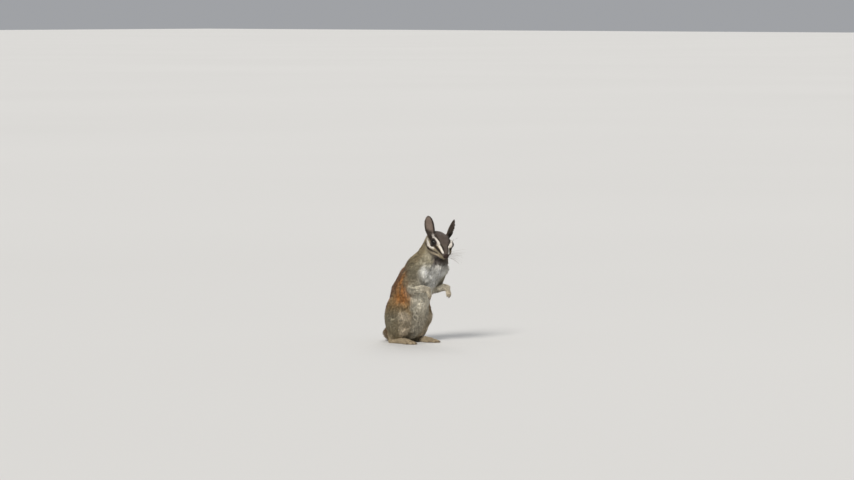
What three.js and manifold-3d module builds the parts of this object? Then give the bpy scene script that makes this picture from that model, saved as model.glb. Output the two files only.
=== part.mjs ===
// A chipmunk standing upright on its hind feet, as a still, life-size model.
// Millimetres, +Z up, standing on z = 0. The chest faces -Y and the animal's left is +X.
// The body is a set of soft-blended forms round a skeleton of named joints. Each node is
// sampled from those forms on a grid, drawn onto the true surface, and parted from its
// neighbours by a thin gap.
import * as THREE from "three";
import { mergeVertices } from "three/addons/utils/BufferGeometryUtils.js";
import Module from "manifold-3d";

const wasm = await Module();
wasm.setup();

// ------------------------------------------------------------ driving sizes
const GAP = 0.32; // at a flat cut between neighbouring pieces
const SEAT = 0.9; // round a limb set into the trunk
const HEAD_YAW = -27; // degrees, to the right of the chest's heading
const HEAD_PITCH = 22.5; // nose down
const HEAD_ROLL = 9.5; // left side down
const EYE_RADIUS = 3.05;
const EYE = [0.4, 7.75, 0.3]; // eyeball centre in the head: forward, out, up
const EAR_LENGTH = 16.6;
const EAR_WIDTH = 8.6;
const EAR_THICK = 0.95;
const EAR_CUP = 2.3;
const EAR_BASE = [-10.0, 7.4, 2.6];
const EAR_TIP = [-16.7, 12.8, 17.4];
const TAIL_STEPS = 18;
const TAIL_HALF_WIDTH = 10.2;
const TAIL_FLAT = 1.6; // width over height
const TOE_RADIUS = 1.05;
const CENTRE = [23.7, 9.7]; // middle of the whole in x and y, moved to the origin at the end
const FINGER_RADIUS = 0.8;

// ------------------------------------------------------------ frame helpers
const rad = THREE.MathUtils.degToRad;
// forward, left, up -> x, y, z
const P = (f, l, u) => new THREE.Vector3(l, -f, u);
const EYE_MID = P(36.0, -5.4, 88.0); // half-way between the eyes
const HEAD = headAxes();
const H = (f, l, u) =>
  EYE_MID.clone()
    .addScaledVector(HEAD[0], f)
    .addScaledVector(HEAD[1], l)
    .addScaledVector(HEAD[2], u);

function headAxes() {
  const y = rad(HEAD_YAW),
    p = rad(HEAD_PITCH),
    r = rad(HEAD_ROLL);
  const f = new THREE.Vector3(
    Math.sin(y) * Math.cos(p),
    -Math.cos(y) * Math.cos(p),
    -Math.sin(p),
  );
  const l = new THREE.Vector3(Math.cos(y), Math.sin(y), 0);
  let u = new THREE.Vector3().crossVectors(l, f);
  if (u.z < 0) u.negate();
  const l2 = l.clone().multiplyScalar(Math.cos(r)).addScaledVector(u, -Math.sin(r));
  const u2 = u.clone().multiplyScalar(Math.cos(r)).addScaledVector(l, Math.sin(r));
  return [f, l2, u2];
}
// axes (forward, left, up) leaned forward by lean, then turned left by turn
function axes(lean = 0, turn = 0) {
  const a = rad(lean);
  const made = [
    P(Math.cos(a), 0, -Math.sin(a)),
    P(0, 1, 0),
    P(Math.sin(a), 0, Math.cos(a)),
  ];
  const z = new THREE.Vector3(0, 0, 1);
  return made.map((v) => v.applyAxisAngle(z, rad(turn)));
}

// ------------------------------------------------------------ soft forms
const q = new THREE.Vector3();
function egg(c, r, ax) {
  return (p) => {
    q.subVectors(p, c);
    const x = q.dot(ax[0]),
      y = q.dot(ax[1]),
      z = q.dot(ax[2]);
    const k0 = Math.hypot(x / r[0], y / r[1], z / r[2]);
    const k1 = Math.hypot(x / r[0] ** 2, y / r[1] ** 2, z / r[2] ** 2);
    return (k0 * (k0 - 1)) / Math.max(k1, 1e-6);
  };
}
// a limb from a to b that tapers from ra to rb, pressed flat by `flat` along `along`
function limb(a, b, ra, rb, along = null, flat = 1) {
  const ab = new THREE.Vector3().subVectors(b, a),
    len = ab.lengthSq();
  return (p) => {
    q.subVectors(p, a);
    const t = Math.min(1, Math.max(0, q.dot(ab) / len));
    q.addScaledVector(ab, -t);
    if (along) q.addScaledVector(along, q.dot(along) * (flat - 1));
    return q.length() - (ra + (rb - ra) * t);
  };
}
const smin = (a, b, k) => {
  const h = Math.max(k - Math.abs(a - b), 0) / k;
  return Math.min(a, b) - (h * h * k) / 4;
};
const blend = (k, ...fs) => (p) => {
  let d = fs[0](p);
  for (let i = 1; i < fs.length; i++) d = smin(d, fs[i](p), k);
  return d;
};

// ------------------------------------------------------------ the body
const upright = axes();
const trunk = blend(
  6,
  egg(P(-11.3, 0, 19.5), [16.5, 16, 16.5], upright),
  egg(P(-7.5, 0, 33), [17.3, 17.5, 18], upright),
  egg(P(-4, 0, 45), [16.8, 17.8, 16], axes(12)),
  egg(P(3, 0, 56), [16, 17, 16.5], axes(33)),
  egg(P(10.5, 0, 65.5), [13.5, 15.5, 13], axes(40)),
  limb(P(13, 0, 68), P(20.5, 0.3, 82), 13.2, 11),
  egg(P(23.2, 2.4, 72), [8.5, 10.2, 10], axes(20)),
);
const headForms = [
  egg(H(-7.5, 0, -1.5), [12, 10, 8.1], HEAD),
  egg(H(-13.5, 0, -4), [8, 9.2, 8], HEAD),
  limb(H(-3, 0, -1.9), H(9, 0, -4.2), 7.8, 4.3),
  limb(H(8, 0, -4.3), H(13.4, 0, -5.7), 4.2, 2.4),
  limb(H(-6, 0, -7.6), H(9.5, 0, -7.9), 5.6, 2.3),
  egg(H(15.1, 0, -5.3), [1.4, 1.6, 1.3], HEAD),
];
for (const s of [1, -1])
  headForms.push(
    egg(H(-2.5, s * 5.8, -5.4), [8.8, 5, 5.6], HEAD),
    egg(H(0.4, s * 6.3, 1.2), [5.6, 3, 3], HEAD),
    limb(H(1, s * 4.6, -5.4), H(10.4, s * 2, -6.2), 3.9, 2.2),
  );
const head = blend(3, ...headForms);
const core = blend(4, trunk, head);

const JOINTS = {
  left: {
    side: 1,
    shoulder: P(18.5, 12, 65.5),
    elbow: P(10.5, 14.8, 48.5),
    wrist: P(25, 13.4, 48.8),
    hand: P(27.2, 13, 43.4),
  },
  right: {
    side: -1,
    shoulder: P(13, -11, 61),
    elbow: P(10.5, -14.2, 48.6),
    wrist: P(23.6, -10.4, 48.2),
    hand: P(25.6, -10, 43.2),
  },
};
for (const j of Object.values(JOINTS)) {
  const s = j.side;
  j.knee = P(1, s * 15.3, 25);
  j.ankle = P(-14, s * 13.2, 8);
  j.heel = P(-16.2, s * 12.8, 2.15);
  j.instep = P(-0.8, s * 13.8, 2.2);
  j.ball = P(5.4, s * 14.6, 1.8);
  j.arm = blend(1.5, limb(j.shoulder, j.elbow, 6.8, 4.5), limb(j.elbow, j.wrist, 4.5, 2.7));
  j.leg = blend(
    3,
    egg(P(-9.2, s * 12.8, 21.2), [12.2, 9.2, 17.2], axes(-4, s * 6)),
    limb(P(-5, s * 14.2, 28), P(-2.2, s * 15, 25.5), 7, 5.8),
    limb(P(-2.5, s * 15, 21), j.ankle, 6.2, 4.2),
    limb(j.ankle, j.heel, 3.9, 3.0),
    limb(j.heel, j.instep, 2.9, 2.7),
    limb(j.instep, j.ball, 2.8, 2.6),
  );
}

// the tail leaves the rump, meets the floor and lies away to the left
const tailCurve = new THREE.CubicBezierCurve3(
  P(-19, 0, 13.5),
  P(-33, 0, 3.5),
  P(-38, 25, 5.4),
  P(-64, 66, 4.6),
);
const tailHalf = (t) =>
  t < 0.3
    ? 5 + (TAIL_HALF_WIDTH - 5) * Math.sin((t / 0.3) * (Math.PI / 2))
    : TAIL_HALF_WIDTH * (1 - 0.62 * ((t - 0.3) / 0.7) ** 2.6);
const up = new THREE.Vector3(0, 0, 1);
const tailForms = [];
for (let i = 0; i < TAIL_STEPS; i++) {
  const a = i / TAIL_STEPS,
    b = (i + 1) / TAIL_STEPS;
  tailForms.push(
    limb(tailCurve.getPoint(a), tailCurve.getPoint(b), tailHalf(a), tailHalf(b), up, TAIL_FLAT),
  );
}
const tail = blend(2, ...tailForms);

// ------------------------------------------------------------ sampling a form on a grid
function sample(form, lo, hi, step, swell = 0) {
  const n = [0, 1, 2].map((i) => Math.ceil((hi[i] - lo[i]) / step) + 1);
  const at = (i, j, k) => (i * n[1] + j) * n[2] + k;
  const value = new Float64Array(n[0] * n[1] * n[2]);
  const p = new THREE.Vector3();
  for (let i = 0; i < n[0]; i++)
    for (let j = 0; j < n[1]; j++)
      for (let k = 0; k < n[2]; k++) {
        const edge =
          !i || !j || !k || i === n[0] - 1 || j === n[1] - 1 || k === n[2] - 1;
        p.set(lo[0] + i * step, lo[1] + j * step, lo[2] + k * step);
        const d = form(p) - swell;
        value[at(i, j, k)] = edge ? Math.max(d, 0.2 * step) : d;
      }
  const point = [],
    index = new Map();
  const corner = [0, 1, 2, 3, 4, 5, 6, 7].map((c) => [c & 1, (c >> 1) & 1, c >> 2]);
  const edges = [];
  for (let a = 0; a < 8; a++)
    for (const bit of [1, 2, 4]) if (!(a & bit)) edges.push([a, a | bit]);
  for (let i = 0; i < n[0] - 1; i++)
    for (let j = 0; j < n[1] - 1; j++)
      for (let k = 0; k < n[2] - 1; k++) {
        let m = 0,
          x = 0,
          y = 0,
          z = 0;
        for (const [a, b] of edges) {
          const A = corner[a],
            B = corner[b];
          const va = value[at(i + A[0], j + A[1], k + A[2])],
            vb = value[at(i + B[0], j + B[1], k + B[2])];
          if (va < 0 === vb < 0) continue;
          const t = va / (va - vb);
          x += A[0] + t * (B[0] - A[0]);
          y += A[1] + t * (B[1] - A[1]);
          z += A[2] + t * (B[2] - A[2]);
          m++;
        }
        if (!m) continue;
        index.set(at(i, j, k), point.length / 3);
        point.push(
          lo[0] + step * (i + x / m),
          lo[1] + step * (j + y / m),
          lo[2] + step * (k + z / m),
        );
      }
  // vertices move onto the form itself, except where the grid's wall closes it
  const g = new THREE.Vector3(),
    e = 0.05;
  const inside = (v, i) => v > lo[i] + 1.6 * step && v < hi[i] - 1.6 * step;
  for (let v = 0; v < point.length; v += 3) {
    p.fromArray(point, v);
    if (!(inside(p.x, 0) && inside(p.y, 1) && inside(p.z, 2))) continue;
    for (let pass = 0; pass < 3; pass++) {
      const d = form(p) - swell;
      for (const [c, name] of [[0, "x"], [1, "y"], [2, "z"]]) {
        p[name] += e;
        const plus = form(p);
        p[name] -= 2 * e;
        g.setComponent(c, (plus - form(p)) / (2 * e));
        p[name] += e;
      }
      p.addScaledVector(
        g,
        -THREE.MathUtils.clamp(d, -0.4 * step, 0.4 * step) / Math.max(g.lengthSq(), 0.2),
      );
    }
    p.toArray(point, v);
  }
  const face = [];
  const far = (a, b) =>
    Math.hypot(point[3 * a] - point[3 * b], point[3 * a + 1] - point[3 * b + 1], point[3 * a + 2] - point[3 * b + 2]);
  const quad = (a, b, c, d) =>
    far(a, c) < far(b, d) ? face.push(a, b, c, a, c, d) : face.push(a, b, d, b, c, d);
  for (let i = 0; i < n[0]; i++)
    for (let j = 0; j < n[1]; j++)
      for (let k = 0; k < n[2]; k++)
        for (let axis = 0; axis < 3; axis++) {
          const c = [i, j, k],
            b = (axis + 1) % 3,
            d = (axis + 2) % 3;
          if (c[axis] >= n[axis] - 1 || !c[b] || !c[d] || c[b] >= n[b] - 1 || c[d] >= n[d] - 1)
            continue;
          const to = [...c];
          to[axis]++;
          const v0 = value[at(...c)] < 0,
            v1 = value[at(...to)] < 0;
          if (v0 === v1) continue;
          const cell = (x, y) => {
            const o = [...c];
            o[b] -= x;
            o[d] -= y;
            return index.get(at(...o));
          };
          const r = [cell(1, 1), cell(0, 1), cell(0, 0), cell(1, 0)];
          v0 ? quad(...r) : quad(...r.reverse());
        }
  const geometry = new THREE.BufferGeometry();
  geometry.setAttribute("position", new THREE.Float32BufferAttribute(point, 3));
  geometry.setIndex(face);
  return geometry;
}

// ------------------------------------------------------------ solids
function solid(geometry, matrix = null) {
  let g = geometry.index ? geometry.toNonIndexed() : geometry.clone();
  g = new THREE.BufferGeometry().setAttribute("position", g.getAttribute("position"));
  if (matrix) g.applyMatrix4(matrix);
  g = mergeVertices(g, 1e-4);
  return new wasm.Manifold(
    new wasm.Mesh({
      numProp: 3,
      vertProperties: new Float32Array(g.attributes.position.array),
      triVerts: new Uint32Array(g.index.array),
    }),
  );
}
function geometryOf(made) {
  const m = made.getMesh();
  const v = new Float32Array(m.numVert * 3);
  for (let i = 0; i < m.numVert; i++)
    v.set(m.vertProperties.subarray(i * m.numProp, i * m.numProp + 3), i * 3);
  const g = new THREE.BufferGeometry();
  g.setAttribute("position", new THREE.BufferAttribute(v, 3));
  g.setIndex(new THREE.BufferAttribute(m.triVerts, 1));
  g.computeVertexNormals();
  return g;
}
// the largest body of a solid, without chips left by a cut
function main(made) {
  return made.decompose().sort((a, b) => b.volume() - a.volume())[0];
}
// a block whose near face is the plane through `point` facing -normal
function block(point, normal, reach = 160) {
  const m = new THREE.Matrix4()
    .setPosition(point.clone().addScaledVector(normal, reach / 2))
    .multiply(
      new THREE.Matrix4().makeRotationFromQuaternion(
        new THREE.Quaternion().setFromUnitVectors(new THREE.Vector3(0, 0, 1), normal),
      ),
    );
  return solid(new THREE.BoxGeometry(reach * 2, reach * 2, reach), m);
}
// which side of the plane is kept: above = along the normal
const above = (made, point, n) =>
  made.subtract(block(point.clone().addScaledVector(n, GAP / 2), n.clone().negate()));
const below = (made, point, n) =>
  made.subtract(block(point.clone().addScaledVector(n, -GAP / 2), n.clone()));
const floorBlock = block(P(0, 0, 0), new THREE.Vector3(0, 0, -1), 120);

// a rod with round ends between two points
function rod(a, b, r, around = 8, caps = 2) {
  const d = new THREE.Vector3().subVectors(b, a);
  const m = new THREE.Matrix4()
    .setPosition(a.clone().add(b).multiplyScalar(0.5))
    .multiply(
      new THREE.Matrix4().makeRotationFromQuaternion(
        new THREE.Quaternion().setFromUnitVectors(up.clone().set(0, 1, 0), d.clone().normalize()),
      ),
    );
  return solid(new THREE.CapsuleGeometry(r, d.length(), caps, around), m);
}
function claw(a, b, r) {
  const d = new THREE.Vector3().subVectors(b, a);
  const m = new THREE.Matrix4()
    .setPosition(a.clone().add(b).multiplyScalar(0.5))
    .multiply(
      new THREE.Matrix4().makeRotationFromQuaternion(
        new THREE.Quaternion().setFromUnitVectors(new THREE.Vector3(0, 1, 0), d.clone().normalize()),
      ),
    );
  return solid(new THREE.CylinderGeometry(0.22, r, d.length(), 4), m);
}
function ball(c, r, across = 14, ax = null) {
  const m = new THREE.Matrix4();
  if (ax) m.makeBasis(ax[0], ax[1], new THREE.Vector3().crossVectors(ax[0], ax[1]));
  m.scale(new THREE.Vector3(...(Array.isArray(r) ? r : [r, r, r])));
  m.setPosition(c);
  return solid(new THREE.SphereGeometry(1, across, Math.round(across * 0.7)), m);
}

// ------------------------------------------------------------ digits
const ANKLE = { at: P(0, 0, 6.4), n: P(0, 0, 1) };
// hind foot: five toes, the first and last set back
const TOES = [
  { across: -3.3, back: 5.6, long: 4.6 },
  { across: -1.9, back: 1.2, long: 6.6 },
  { across: -0.1, back: 0.2, long: 7.2 },
  { across: 1.7, back: 0.9, long: 6.8 },
  { across: 3.1, back: 4.6, long: 5.2 },
];
function footOf(j) {
  const s = j.side,
    ahead = new THREE.Vector3().subVectors(j.ball, j.heel).setZ(0).normalize(),
    out = new THREE.Vector3(-ahead.y, ahead.x, 0).multiplyScalar(s);
  if (out.x * s < 0) out.negate();
  const lo = [Math.min(j.heel.x, j.ball.x) - 6, j.ball.y - 6, -4],
    hi = [Math.max(j.heel.x, j.ball.x) + 6, j.heel.y + 6, 13];
  let made = below(solid(sample(j.leg, lo, hi, 2.8)), ANKLE.at, ANKLE.n);
  for (const toe of TOES) {
    const spread = ahead.clone().addScaledVector(out, toe.across * 0.075).normalize();
    const root = j.ball.clone().addScaledVector(ahead, 0.6 - toe.back).addScaledVector(out, toe.across * 0.9);
    root.z = 1.4;
    const tip = root.clone().addScaledVector(spread, toe.long);
    tip.z = 0.85;
    made = made.add(rod(root, tip, TOE_RADIUS, 5, 1));
    const nail = tip.clone().addScaledVector(spread, 2.3);
    nail.z = 0.6;
    const from = tip.clone().addScaledVector(spread, 0.3);
    from.z = 1.0;
    made = made.add(claw(from, nail, 0.55));
  }
  return made.subtract(floorBlock);
}
// fore paw: palm and four fingers, hanging from the wrist and slightly curled
const FINGERS = [
  { across: -1.5, long: 2.8 },
  { across: -0.5, long: 3.7 },
  { across: 0.6, long: 3.6 },
  { across: 1.6, long: 2.7 },
];
function pawOf(j) {
  const down = new THREE.Vector3().subVectors(j.hand, j.wrist).normalize(),
    arm = new THREE.Vector3().subVectors(j.wrist, j.elbow).normalize(),
    across = new THREE.Vector3().crossVectors(arm, down).normalize(),
    front = new THREE.Vector3().crossVectors(down, across).normalize();
  const palm = j.wrist.clone().lerp(j.hand, 0.42);
  let made = ball(palm, [1.65, 2.35, 3.3], 8, [front, across]);
  made = made.add(rod(j.wrist.clone().addScaledVector(arm, -1.6), j.wrist.clone().addScaledVector(down, 0.6), 1.95, 7, 1));
  for (const f of FINGERS) {
    const root = palm.clone().addScaledVector(across, f.across * 0.95).addScaledVector(down, 1.6);
    const tip = root.clone().addScaledVector(down, f.long).addScaledVector(across, f.across * 0.3).addScaledVector(front, -0.5);
    made = made.add(rod(root, tip, FINGER_RADIUS, 5, 1));
    made = made.add(claw(tip, tip.clone().addScaledVector(down, 1.9).addScaledVector(front, -1.2), 0.5));
  }
  return made;
}

// ------------------------------------------------------------ ears
// a flattened, cupped sphere: pointed oval outline, open side forward and out
function earOf(s) {
  const base = H(EAR_BASE[0], s * EAR_BASE[1], EAR_BASE[2]),
    tip = H(EAR_TIP[0], s * EAR_TIP[1], EAR_TIP[2]);
  const along = new THREE.Vector3().subVectors(tip, base).normalize();
  const open = HEAD[0].clone().multiplyScalar(0.8).addScaledVector(HEAD[1], s * 0.6);
  open.addScaledVector(along, -open.dot(along)).normalize();
  const wide = new THREE.Vector3().crossVectors(along, open).normalize();
  const g = new THREE.SphereGeometry(1, 12, 9);
  const p = g.attributes.position;
  for (let i = 0; i < p.count; i++) {
    const t = (p.getY(i) + 1) / 2,
      ring = Math.hypot(p.getX(i), p.getZ(i)) || 1;
    const w = (EAR_WIDTH / 2) * earOutline(t);
    const x = (p.getX(i) / ring) * w,
      thick = (p.getZ(i) / ring) * Math.min(EAR_THICK / 2, w);
    const bend = EAR_CUP * (x / (EAR_WIDTH / 2)) ** 2 - 0.9 * Math.sin(t * Math.PI);
    const v = base
      .clone()
      .addScaledVector(along, t * EAR_LENGTH)
      .addScaledVector(wide, x)
      .addScaledVector(open, thick + bend);
    p.setXYZ(i, v.x, v.y, v.z);
  }
  return solid(g);
}
function earOutline(t) {
  if (t <= 0 || t >= 1) return 0;
  return t < 0.36
    ? 0.7 + 0.3 * Math.sin(((t / 0.36) * Math.PI) / 2)
    : Math.pow(1 - ((t - 0.36) / 0.64) ** 3, 0.62);
}

// ------------------------------------------------------------ assembling the nodes
const coat = { brown: 0x85745a, orange: 0xa8693a, grey: 0x8f8a7e, cream: 0xd2c8b0, dark: 0x4a4038 };
const material = (name, color, roughness = 0.85) =>
  new THREE.MeshStandardMaterial({ name, color, roughness, metalness: 0 });
const MATERIALS = {
  head: material("head", coat.dark),
  body: material("body", coat.brown),
  limbs: material("limbs", coat.grey),
  feet: material("feet", coat.cream),
  ears: material("ears", coat.dark),
  tail: material("tail", 0x6a5238),
  eye: material("eye", 0x0b0807, 0.08),
};
const group = new THREE.Group();
const TOLERANCE = 0.12; // facets may leave the true surface by this much
function add(name, made, mat, tolerance = TOLERANCE) {
  const mesh = new THREE.Mesh(geometryOf(main(made).simplify(tolerance)), mat);
  mesh.name = name;
  group.add(mesh);
}

const boxOf = (pts, pad) => [
  [0, 1, 2].map((i) => Math.min(...pts.map((p) => p.getComponent(i))) - pad),
  [0, 1, 2].map((i) => Math.max(...pts.map((p) => p.getComponent(i))) + pad),
];
const limbSolid = (form, pts, pad, step, swell = 0) => {
  const [lo, hi] = boxOf(pts, pad);
  return solid(sample(form, lo, hi, step, swell));
};

const parts = {};
for (const [name, j] of Object.entries(JOINTS)) {
  const out = P(0, j.side, 0);
  const legPts = [P(-22, j.side * 12, 6), P(12, j.side * 22, 42), P(-20, j.side * 2, 5)];
  const armPts = [j.shoulder, j.elbow, j.wrist];
  const inLeg = P(0, j.side * 7, 0),
    inArm = P(0, j.side * 8, 0);
  parts[name] = {
    foot: footOf(j),
    leg: above(limbSolid(j.leg, legPts, 9, 3.7), inLeg, out),
    legFat: above(limbSolid(j.leg, legPts, 9, 4.4, SEAT), inLeg.clone().addScaledVector(out, -GAP), out),
    arm: above(limbSolid(j.arm, armPts, 10, 2.9), inArm, out),
    armFat: above(limbSolid(j.arm, armPts, 10, 3.1, SEAT), inArm.clone().addScaledVector(out, -GAP), out),
    paw: pawOf(j),
  };
}
const tailBox = [[-13, -1, -6], [80, 78, 26]];
const tailSolid = solid(sample(tail, ...tailBox, 4.0)).subtract(floorBlock);
const tailEnd = solid(sample(tail, [8, 20, -6], [80, 78, 22], 3.2)).subtract(floorBlock);
const tailFat = solid(sample(tail, ...tailBox, 4.0, SEAT));

// head and neck on the fine grid, trunk on the coarse one
const neckTop = {
  at: H(-14, 0, -6.5),
  n: HEAD[0].clone().multiplyScalar(0.675).addScaledVector(HEAD[2], 0.737).normalize(),
};
const neckLow = { at: P(14.5, 0, 71.5), n: P(0.42, 0, 0.9).normalize() };
const coreFine = solid(sample(core, [-20, -62, 55], [26, 8, 106], 2.45));
const coreCoarse = solid(sample(core, [-26, -50, -2], [26, 40, 94], 5.7));
const eyes = {};
let headSolid = above(coreFine, neckTop.at, neckTop.n);
for (const [name, j] of Object.entries(JOINTS)) {
  const c = H(EYE[0], j.side * EYE[1], EYE[2]);
  eyes[name] = ball(c, EYE_RADIUS, 12, HEAD);
  headSolid = headSolid.subtract(ball(c, EYE_RADIUS + GAP + 0.1, 9, HEAD));
}
const headFat = solid(sample(head, [-20, -62, 62], [26, -2, 106], 1.9, GAP));
let neck = below(coreCoarse, neckTop.at, neckTop.n);
neck = above(neck, neckLow.at, neckLow.n);
let body = below(below(coreCoarse, neckTop.at, neckTop.n), neckLow.at, neckLow.n);
for (const m of Object.values(parts)) {
  neck = neck.subtract(m.armFat);
  body = body.subtract(m.legFat).subtract(m.armFat);
}
body = body.subtract(tailFat).subtract(floorBlock);

const waist = { at: P(-2, 0, 44), n: P(0.28, 0, 0.96).normalize() };
add("head", headSolid, MATERIALS.head);
add("neck", neck, MATERIALS.body);
add("trunk_chest", above(body, waist.at, waist.n), MATERIALS.body, 0.25);
add("trunk_hips", below(body, waist.at, waist.n), MATERIALS.body, 0.25);
for (const [name, j] of Object.entries(JOINTS)) {
  const m = parts[name];
  add("ear_" + name, earOf(j.side).subtract(headFat), MATERIALS.ears);
  add("eye_" + name, eyes[name], MATERIALS.eye);
  const wristN = new THREE.Vector3().subVectors(j.wrist, j.elbow).normalize();
  const wristAt = j.wrist.clone().addScaledVector(wristN, -1.4);
  const elbowN = new THREE.Vector3().subVectors(j.elbow, j.shoulder).normalize().add(wristN).normalize();
  const elbowAt = j.elbow.clone().addScaledVector(wristN, 2.2);
  add("upper_arm_" + name, below(m.arm, elbowAt, elbowN), MATERIALS.limbs);
  add("forearm_" + name, below(above(m.arm, elbowAt, elbowN), wristAt, wristN), MATERIALS.limbs);
  add("fore_paw_" + name, above(m.paw, wristAt, wristN), MATERIALS.feet, 0.03);
  add("hind_leg_" + name, above(m.leg, ANKLE.at, ANKLE.n).subtract(tailFat), MATERIALS.limbs);
  add("hind_foot_" + name, m.foot, MATERIALS.feet, 0.08);
}
const tailCut = (t) => ({ at: tailCurve.getPoint(t), n: tailCurve.getTangent(t).setZ(0).normalize() });
const c1 = tailCut(0.4),
  c2 = tailCut(0.7);
add("tail_base", below(tailSolid, c1.at, c1.n), MATERIALS.tail);
add("tail_middle", below(above(tailSolid, c1.at, c1.n), c2.at, c2.n), MATERIALS.tail);
add("tail_tip", above(tailEnd, c2.at, c2.n), MATERIALS.tail);

for (const mesh of group.children) mesh.geometry.translate(-CENTRE[0], -CENTRE[1], 0);

export default group;
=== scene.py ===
import math
import bpy
import numpy as np
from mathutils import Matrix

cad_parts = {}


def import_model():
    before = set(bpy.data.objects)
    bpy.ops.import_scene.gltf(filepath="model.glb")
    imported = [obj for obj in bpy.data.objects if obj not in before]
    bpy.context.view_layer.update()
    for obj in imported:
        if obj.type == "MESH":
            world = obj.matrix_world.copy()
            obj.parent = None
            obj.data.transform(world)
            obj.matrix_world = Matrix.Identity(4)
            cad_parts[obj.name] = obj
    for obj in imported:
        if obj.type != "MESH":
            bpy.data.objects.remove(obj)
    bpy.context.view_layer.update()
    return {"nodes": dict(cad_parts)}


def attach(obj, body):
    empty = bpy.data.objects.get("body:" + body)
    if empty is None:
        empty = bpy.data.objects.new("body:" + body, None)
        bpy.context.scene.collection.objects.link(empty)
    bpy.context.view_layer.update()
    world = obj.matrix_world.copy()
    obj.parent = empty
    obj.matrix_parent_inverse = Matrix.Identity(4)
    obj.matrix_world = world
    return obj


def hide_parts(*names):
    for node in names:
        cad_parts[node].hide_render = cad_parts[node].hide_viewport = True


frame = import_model()
rng = np.random.default_rng(20261)

# ---------------------------------------------------------------- sizes, in mm, as in the solids
CENTRE = (23.7, 9.7)
HEAD_YAW, HEAD_PITCH, HEAD_ROLL = -27.0, 22.5, 9.5
EYE_RADIUS = 3.05
EYE = (0.4, 7.75, 0.3)
EAR_LENGTH, EAR_WIDTH, EAR_THICK, EAR_CUP = 16.6, 8.6, 0.85, 2.3
EAR_BASE, EAR_TIP = (-10.0, 7.4, 2.6), (-16.7, 12.8, 17.4)
TAIL_STEPS, TAIL_HALF_WIDTH, TAIL_FLAT = 18, 10.2, 1.6
TOE_RADIUS, FINGER_RADIUS = 1.05, 0.8


def V(*a):
    return np.array(a, float)


def P(f, l, u):  # forward, left, up
    return V(l, -f, u)


def unit(v):
    return v / np.linalg.norm(v)


def head_axes():
    y, p, r = (math.radians(a) for a in (HEAD_YAW, HEAD_PITCH, HEAD_ROLL))
    f = V(math.sin(y) * math.cos(p), -math.cos(y) * math.cos(p), -math.sin(p))
    l = V(math.cos(y), math.sin(y), 0)
    u = np.cross(l, f)
    if u[2] < 0:
        u = -u
    return np.array([f, l * math.cos(r) - u * math.sin(r), u * math.cos(r) + l * math.sin(r)])


EYE_MID = P(36.0, -5.4, 88.0)
HEAD = head_axes()


def H(f, l, u):
    return EYE_MID + f * HEAD[0] + l * HEAD[1] + u * HEAD[2]


def axes(lean=0.0, turn=0.0):
    a, t = math.radians(lean), math.radians(turn)
    made = np.array([P(math.cos(a), 0, -math.sin(a)), P(0, 1, 0), P(math.sin(a), 0, math.cos(a))])
    rz = np.array([[math.cos(t), -math.sin(t), 0], [math.sin(t), math.cos(t), 0], [0, 0, 1]])
    return made @ rz.T


# ---------------------------------------------------------------- soft forms; depth is the coat's, taken off the outline
def egg(c, r, ax, depth=0.0):
    r = np.array(r, float) - depth

    def form(p):
        q = (p - c) @ ax.T
        k0 = np.sqrt(((q / r) ** 2).sum(1))
        k1 = np.sqrt(((q / (r * r)) ** 2).sum(1))
        return k0 * (k0 - 1) / np.maximum(k1, 1e-6)

    return form


def limb(a, b, ra, rb, depth=0.0, along=None, flat=1.0):
    ra, rb, ab = ra - depth, rb - depth, b - a

    def form(p):
        q = p - a
        t = np.clip(q @ ab / (ab @ ab), 0, 1)
        q = q - t[:, None] * ab
        if along is not None:
            q = q + np.outer(q @ along, along) * (flat - 1)
        return np.sqrt((q * q).sum(1)) - (ra + (rb - ra) * t)

    return form


def smin(a, b, k):
    h = np.maximum(k - np.abs(a - b), 0) / k
    return np.minimum(a, b) - h * h * k / 4


def blend(k, *fs):
    def form(p):
        d = fs[0](p)
        for f in fs[1:]:
            d = smin(d, f(p), k)
        return d

    return form


UPRIGHT = axes()
trunk = blend(
    6,
    egg(P(-11.3, 0, 19.5), [16.5, 16, 16.5], UPRIGHT, 2.2),
    egg(P(-7.5, 0, 33), [17.3, 17.5, 18], UPRIGHT, 2.2),
    egg(P(-4, 0, 45), [16.8, 17.8, 16], axes(12), 2.1),
    egg(P(3, 0, 56), [16, 17, 16.5], axes(33), 2.1),
    egg(P(10.5, 0, 65.5), [13.5, 15.5, 13], axes(40), 2.0),
    limb(P(13, 0, 68), P(20.5, 0.3, 82), 13.2, 11, 1.8),
    egg(P(23.2, 2.4, 72), [8.5, 10.2, 10], axes(20), 2.0),
)
head_forms = [
    egg(H(-7.5, 0, -1.5), [12, 10, 8.1], HEAD, 0.7),
    egg(H(-13.5, 0, -4), [8, 9.2, 8], HEAD, 1.0),
    limb(H(-3, 0, -1.9), H(9, 0, -4.2), 7.8, 4.3, 0.6),
    limb(H(8, 0, -4.3), H(13.4, 0, -5.7), 4.2, 2.4, 0.4),
    limb(H(-6, 0, -7.6), H(9.5, 0, -7.9), 5.6, 2.3, 0.7),
    egg(H(15.1, 0, -5.3), [1.4, 1.6, 1.3], HEAD, 0.1),
]
for s in (1, -1):
    head_forms += [
        egg(H(-2.5, s * 5.8, -5.4), [8.8, 5, 5.6], HEAD, 0.5),
        egg(H(0.4, s * 6.3, 1.2), [5.6, 3, 3], HEAD, 0.5),
        limb(H(1, s * 4.6, -5.4), H(10.4, s * 2, -6.2), 3.9, 2.2, 0.5),
    ]
head = blend(3, *head_forms)

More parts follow.
